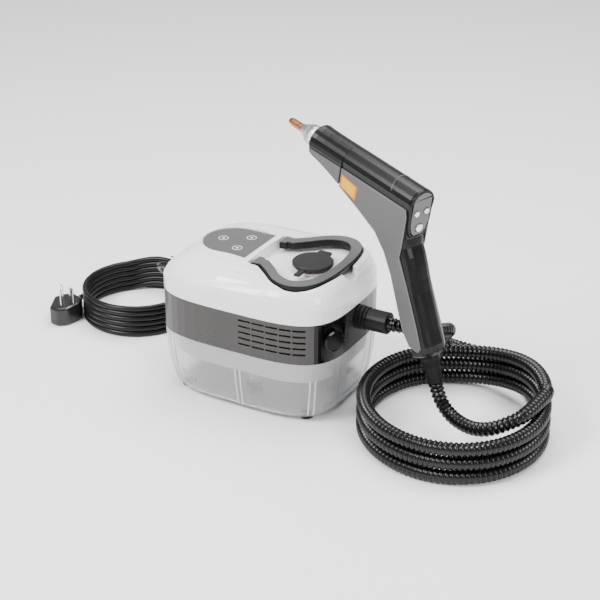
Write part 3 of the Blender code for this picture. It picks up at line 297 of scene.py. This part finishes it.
def skin(rings, closed=False):
    build = bmesh.new()
    loops = [[build.verts.new(point) for point in ring] for ring in rings]
    pairs = list(zip(loops, loops[1:])) + ([(loops[-1], loops[0])] if closed else [])
    for low, high in pairs:
        for index in range(len(low)):
            after = (index + 1) % len(low)
            build.faces.new((low[index], low[after], high[after], high[index]))
    if not closed:
        build.faces.new(loops[0])
        build.faces.new(loops[-1])
    return build


def swept(name, path, radii, sides, slot, body, finish=None):
    """A tube along a path, carried without twist. Its radii repeat along it."""
    tangents = [(path[min(i + 1, len(path) - 1)] - path[max(i - 1, 0)]).normalized()
                for i in range(len(path))]
    normal = tangents[0].orthogonal().normalized()
    rings = []
    for index, (point, tangent) in enumerate(zip(path, tangents)):
        normal = (normal - tangent * normal.dot(tangent)).normalized()
        across = tangent.cross(normal)
        reach = radii[index % len(radii)]
        turns = [2 * pi * side / sides for side in range(sides)]
        rings.append([point + reach * (normal * cos(a) + across * sin(a)) for a in turns])
    return piece_from(name, skin(rings), slot, body, finish)


# ---------------------------------------------------------------- steam hose and mains lead
def hose_spot(degrees_round, z, offset=0.0):
    along = Vector((cos(HOSE_LONG_AXIS), sin(HOSE_LONG_AXIS)))
    across = Vector((along.y, -along.x))
    a = radians(degrees_round)
    flat = HOSE_CENTRE + across * (HOSE_RADIUS + offset) * cos(a)
    flat += along * (HOSE_RADIUS * HOSE_STRETCH + offset) * sin(a)
    return Vector((flat.x, flat.y, z))


def make_hose():
    """Down from the outlet, three turns clockwise and upwards, then over to the gun."""
    coil = []
    for travelled in HOSE_SWEEP:
        level = sum(smoothstep((travelled - HOSE_FIRST_CLIMB - 360 * turn) / HOSE_CLIMB)
                    for turn in range(3))
        outward = HOSE_JOIN_OUTWARD * (1 - smoothstep((travelled + 32) / HOSE_JOIN))
        coil.append(hose_spot(-travelled, HOSE_DIAMETER / 2 + HOSE_PITCH * level, outward))
    to_gun = [Vector(p) for p in reversed(GUN_LEAD_ROUTE)] + [Vector(cuff_line(CUFF_LENGTH + 0.008)),
                                                              Vector(cuff_line(CUFF_LENGTH + 0.0003))]
    knots = [Vector(HOSE_START)] + [Vector(p) for p in HOSE_LEAD_ROUTE] + coil + to_gun
    path, length = even([world(p) for p in catmull(knots)], RIB_PITCH / len(RIB_PROFILE))
    radii = [HOSE_DIAMETER / 2 - RIB_DEPTH * share for share in RIB_PROFILE]
    hose = swept("steam_hose", path, radii, 16, "hose_black", "unit")
    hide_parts("steam_hose_coil", "steam_hose_lead", "gun_hose_lead")


def make_mains_lead():
    """Onto the top of its coil, six turns down, then out along the floor and up to the plug."""
    coil = []
    last = CORD_FIRST_FALL + 360 * CORD_TURNS
    for travelled in range(CORD_SWEEP_START, last + CORD_LEAVE, 6):
        fallen = sum(smoothstep((travelled - CORD_FIRST_FALL - 360 * turn) / CORD_FALL)
                     for turn in range(CORD_TURNS))
        outward = CORD_LEAVE_OUTWARD * smoothstep((travelled - last + CORD_LEAVE) / CORD_LEAVE)
        reach, a = CORD_RADIUS + outward, radians(travelled)
        z = CORD_DIAMETER * (CORD_TURNS + 0.5 - fallen) + 0.0003
        coil.append(Vector((CORD_CENTRE.x + reach * cos(a), CORD_CENTRE.y + reach * sin(a), z)))
    knots = [Vector(CORD_START)] + [Vector(p) for p in CORD_LEAD_ROUTE] + coil
    knots += [Vector(p) for p in reversed(PLUG_LEAD_ROUTE)] + [Vector(PLUG_EXIT)]
    path, length = even([world(p) for p in catmull(knots, 8)], 0.0025)
    cord = swept("mains_lead", path, [CORD_DIAMETER / 2], 16, "cord_black", "unit")
    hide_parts("power_cord_coil", "power_cord_lead", "power_cord_plug_lead")


# ---------------------------------------------------------------- details
def flat_ring(name, centre, outer, inner, low, finish, count=40):
    def ring(radius, z):
        return [(centre[0] + UNIT_X + radius * cos(2 * pi * i / count),
                 centre[1] + radius * sin(2 * pi * i / count), z) for i in range(count)]

    high = low + MARK_THICKNESS
    rings = [ring(outer, low), ring(outer, high), ring(inner, high), ring(inner, low)]
    piece_from(name, skin(rings, closed=True), "white_shell", "unit", finish)


def make_panel_details():
    """The white lip round the panel, and three plain ring marks on it."""
    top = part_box("control_panel")[1].z
    left, right, half, bend = -0.0835, -0.0128, 0.0355, -0.0480
    outline = [(right, -half), (right, half)]
    outline += [(bend + (bend - left) * cos(pi / 2 + pi * i / 24), half * sin(pi / 2 + pi * i / 24))
                for i in range(25)]
    centre = Vector((bend, 0.0))
    grown = [[Vector(p) + (Vector(p) - centre).normalized() * g for p in outline]
             for g in (0.0005, 0.0018)]

    def ring(points, z):
        return [world((p.x, p.y, z)) for p in points]

    rings = [ring(grown[0], top - 0.0012), ring(grown[0], top + 0.0006),
             ring(grown[1], top + 0.0004), ring(grown[1], top - 0.0012)]
    piece_from("panel_lip", skin(rings, closed=True), "white_shell", "unit")
    for index, spot in enumerate(((-0.062, 0.0), (-0.034, 0.016), (-0.034, -0.016))):
        flat_ring(f"panel_mark_{index + 1}", spot, 0.0058, 0.0050, top + 0.0001, ICON_WHITE)
        flat_ring(f"panel_dot_{index + 1}", spot, 0.0018, 0.0008, top + 0.0001, ICON_WHITE, 20)


def make_plate_trims():
    """A light trim line round each side plate."""
    middle = sum((Vector(p) for p in PLATE_OUTLINE), Vector((0.0, 0.0))) / len(PLATE_OUTLINE)
    for name, side in (("plate_trim_left", 1), ("plate_trim_right", -1)):
        curve = bpy.data.curves.new(name, "CURVE")
        curve.dimensions = "3D"
        curve.bevel_depth = 0.00045
        curve.bevel_resolution = 2
        spline = curve.splines.new("POLY")
        spline.points.add(len(PLATE_OUTLINE) - 1)
        spline.use_cyclic_u = True
        for spot, point in zip(spline.points, PLATE_OUTLINE):
            inner = Vector(point) + (middle - Vector(point)).normalized() * 0.0010
            spot.co = (*world(gun_place(inner.x, side * (PLATE_FACE - 0.0001), inner.y)), 1.0)
        curve.materials.append(TRIM_GREY)
        trim = added(name, curve)
        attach(trim, "unit")


def make_gun_label():
    """A plain two-tone field on the near side plate."""
    middle = sum((Vector(c) for c in LABEL_CORNERS), Vector((0.0, 0.0))) / len(LABEL_CORNERS)
    for name, share, level, finish in (("gun_label", 1.0, 0.0001, LABEL_ORANGE),
                                       ("gun_label_field", 0.82, 0.0004, LABEL_YELLOW)):
        corners = [middle.lerp(Vector(c), share) for c in LABEL_CORNERS]
        rings = [[world(gun_place(c.x, side, c.y)) for c in corners]
                 for side in (PLATE_FACE + level, PLATE_FACE + level + MARK_THICKNESS)]
        piece_from(name, skin(rings), "gun_grey", "unit", finish)


def make_nose_plates():
    """The grey sides run on under the barrel as far as the nose, and a fine seam crosses its top."""
    outline = [(0.1424, 0.1650), (0.1912, 0.1646), (0.1916, 0.1600), (0.1880, 0.1578),
               (0.1760, 0.1556), (0.1600, 0.1510), (0.1424, 0.1450)]
    for name, side in (("nose_plate_left", 1), ("nose_plate_right", -1)):
        rings = [[world(gun_place(f, side * reach, up)) for f, up in outline]
                 for reach in (0.0171, PLATE_FACE + 0.0001)]
        piece_from(name, skin(rings), "gun_grey", "unit")
    turns = [radians(a) for a in range(22, 159, 4)]
    arc = [world(gun_place(0.0640 + 0.0060 * sin(a), BARREL_RADIUS * cos(a),
                           BARREL_UP + BARREL_RADIUS * sin(a))) for a in turns]
    swept("cover_seam", arc, [0.00028], 8, "gun_grey", "unit", TRIM_GREY)


def make_rear_arch():
    """The button panel's rounded top, and the black rim that frames the whole panel."""
    def bow(reach, turns):
        return [(reach * cos(radians(a)), BARREL_UP + reach * sin(radians(a))) for a in turns]

    arch = bow(0.0152, range(31, 150, 7))
    rings = [[world(gun_place(forward, side, up)) for side, up in arch]
             for forward in (0.0340, 0.0362)]
    piece_from("panel_arch", skin(rings), "gun_panel", "unit")
    side = [(0.0146, 0.1475), (0.0150, 0.1600)]
    over = bow(0.0166, range(6, 175, 12))
    low = [(-0.0122, 0.1372), (-0.0070, 0.1318), (0.0070, 0.1318), (0.0122, 0.1372)]
    frame_line = side + over + [(-y, z) for y, z in reversed(side)] + low
    line = [Vector(world(gun_place(0.0356, y, z))) for y, z in frame_line + frame_line[:1]]
    path, _ = even(catmull(line, 8), 0.0015)
    swept("panel_rim", path, [0.0014], 12, "gun_black", "unit")


def make_knurl():
    """Fine straight ridges round the nozzle's chuck."""
    def ring(forward, radius, ridge=RIDGE_HEIGHT):
        made = []
        for index in range(KNURL_RIDGES):
            a = 2 * pi * index / KNURL_RIDGES
            reach = radius + (ridge if index % 2 else 0.0)
            made.append(world(gun_place(CHUCK_START + forward, reach * cos(a),
                                        BARREL_UP + reach * sin(a))))
        return made

    rings = [ring(0.0030, 0.01095), ring(0.0036, 0.01125), ring(0.0154, 0.01125),
             ring(0.0160, 0.01095), ring(0.0160, CHUCK_RADIUS, 0.0), ring(0.0030, CHUCK_RADIUS, 0.0)]
    piece_from("nozzle_knurl", skin(rings, closed=True), "nozzle_steel", "nozzle")


def make_tank_ribs():
    """Pairs of upright ribs in the tank's front and corner."""
    profile = [(0.0085, 0.0092), (0.0130, 0.0078), (0.0200, 0.0062), (0.0320, 0.0042),
               (0.0450, 0.0022), (0.0560, 0.0014)]
    section = [(-0.0011, -0.0004), (0.0011, -0.0004), (0.0007, 0.0006), (-0.0007, 0.0006)]

    def outside(angle, inset):
        c, s = cos(angle), sin(angle)
        return Vector((copysign((TANK_HALF_LENGTH - inset) * abs(c) ** (2 / TANK_ROUNDING), c),
                       copysign((TANK_HALF_WIDTH - inset) * abs(s) ** (2 / TANK_ROUNDING), s)))

    for index, a in enumerate((radians(-89.70), radians(-43.0))):
        for half, shift in enumerate((-0.0030, 0.0030)):
            rings = []
            for z, inset in profile:
                spot = outside(a, inset)
                tangent = (outside(a + 0.02, inset) - outside(a - 0.02, inset)).normalized()
                out = Vector((tangent.y, -tangent.x))
                middle = spot + tangent * shift
                corners = [middle + tangent * w + out * d for w, d in section]
                rings.append([world((c.x, c.y, z)) for c in corners])
            piece_from(f"tank_rib_{index * 2 + half + 1}", skin(rings), "clear_tank", "unit", TANK_RIB)


def make_tie_ends():
    """The tie's two twisted wire ends, which stand up from the top of the coil."""
    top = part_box("cord_tie")[1].z
    a = radians(80)
    foot = Vector((CORD_CENTRE.x + CORD_RADIUS * cos(a), CORD_CENTRE.y + CORD_RADIUS * sin(a), top))
    for index, lean in enumerate((-1, 1)):
        steps = [(0.0004, 0.0, -0.0004), (0.0012, 0.0, 0.0022), (0.0030, 0.0008, 0.0030),
                 (0.0052, 0.0016, 0.0030)]
        route = [foot + Vector((lean * x, lean * y, z)) for x, y, z in steps]
        path, _ = even([world(p) for p in catmull(route)], 0.0008)
        swept(f"tie_end_{index + 1}", path, [0.0008], 10, "black_plastic", "unit")


# ---------------------------------------------------------------- stage
def area_light(name, place, target, size, power):
    data = bpy.data.lights.new(name, "AREA")
    data.shape = "SQUARE"
    data.size, data.energy = size, power
    lamp = added(name, data)
    lamp.location = place
    lamp.rotation_euler = (Vector(target) - Vector(place)).to_track_quat("-Z", "Y").to_euler()


def make_stage():
    build = bmesh.new()
    bmesh.ops.create_grid(build, x_segments=1, y_segments=1, size=6.0)
    mesh = bpy.data.meshes.new("floor")
    build.to_mesh(mesh)
    build.free()
    mesh.materials.append(surface("floor", (0.92, 0.92, 0.92), 0.75, bump=0.0, tint=0.0))
    floor = added("floor", mesh)
    floor.location.z = -0.0002

    middle = (0.0, 0.0, 0.1)
    area_light("key", (-0.9, -1.2, 1.7), middle, 0.8, 62)
    area_light("fill", (1.5, -0.7, 1.1), middle, 0.8, 22)
    area_light("top", (0.1, 0.5, 1.9), middle, 1.4, 56)
    sky = bpy.data.worlds.new("studio")
    sky.use_nodes = True
    sky.node_tree.nodes["Background"].inputs["Color"].default_value = (0.96, 0.97, 1.0, 1.0)
    sky.node_tree.nodes["Background"].inputs["Strength"].default_value = 0.60
    bpy.context.scene.world = sky

    data = bpy.data.cameras.new("camera")
    data.lens, data.sensor_width = CAMERA_LENS, 36
    camera = added("camera", data)
    camera.location = world(CAMERA_PLACE)
    aim = world(CAMERA_TARGET) - world(CAMERA_PLACE)
    camera.rotation_euler = aim.to_track_quat("-Z", "Y").to_euler()
    bpy.context.scene.camera = camera


def repaint_nodes():
    for entry in frame["record"]["subparts"]:
        for used in NODES[entry["node"]].material_slots:
            used.material = FINISHES[entry["material_slot"]]


make_stage()
make_hose()
make_mains_lead()
repaint_nodes()
make_panel_details()
make_plate_trims()
make_gun_label()
make_nose_plates()
make_rear_arch()
make_knurl()
make_tank_ribs()
make_tie_ends()
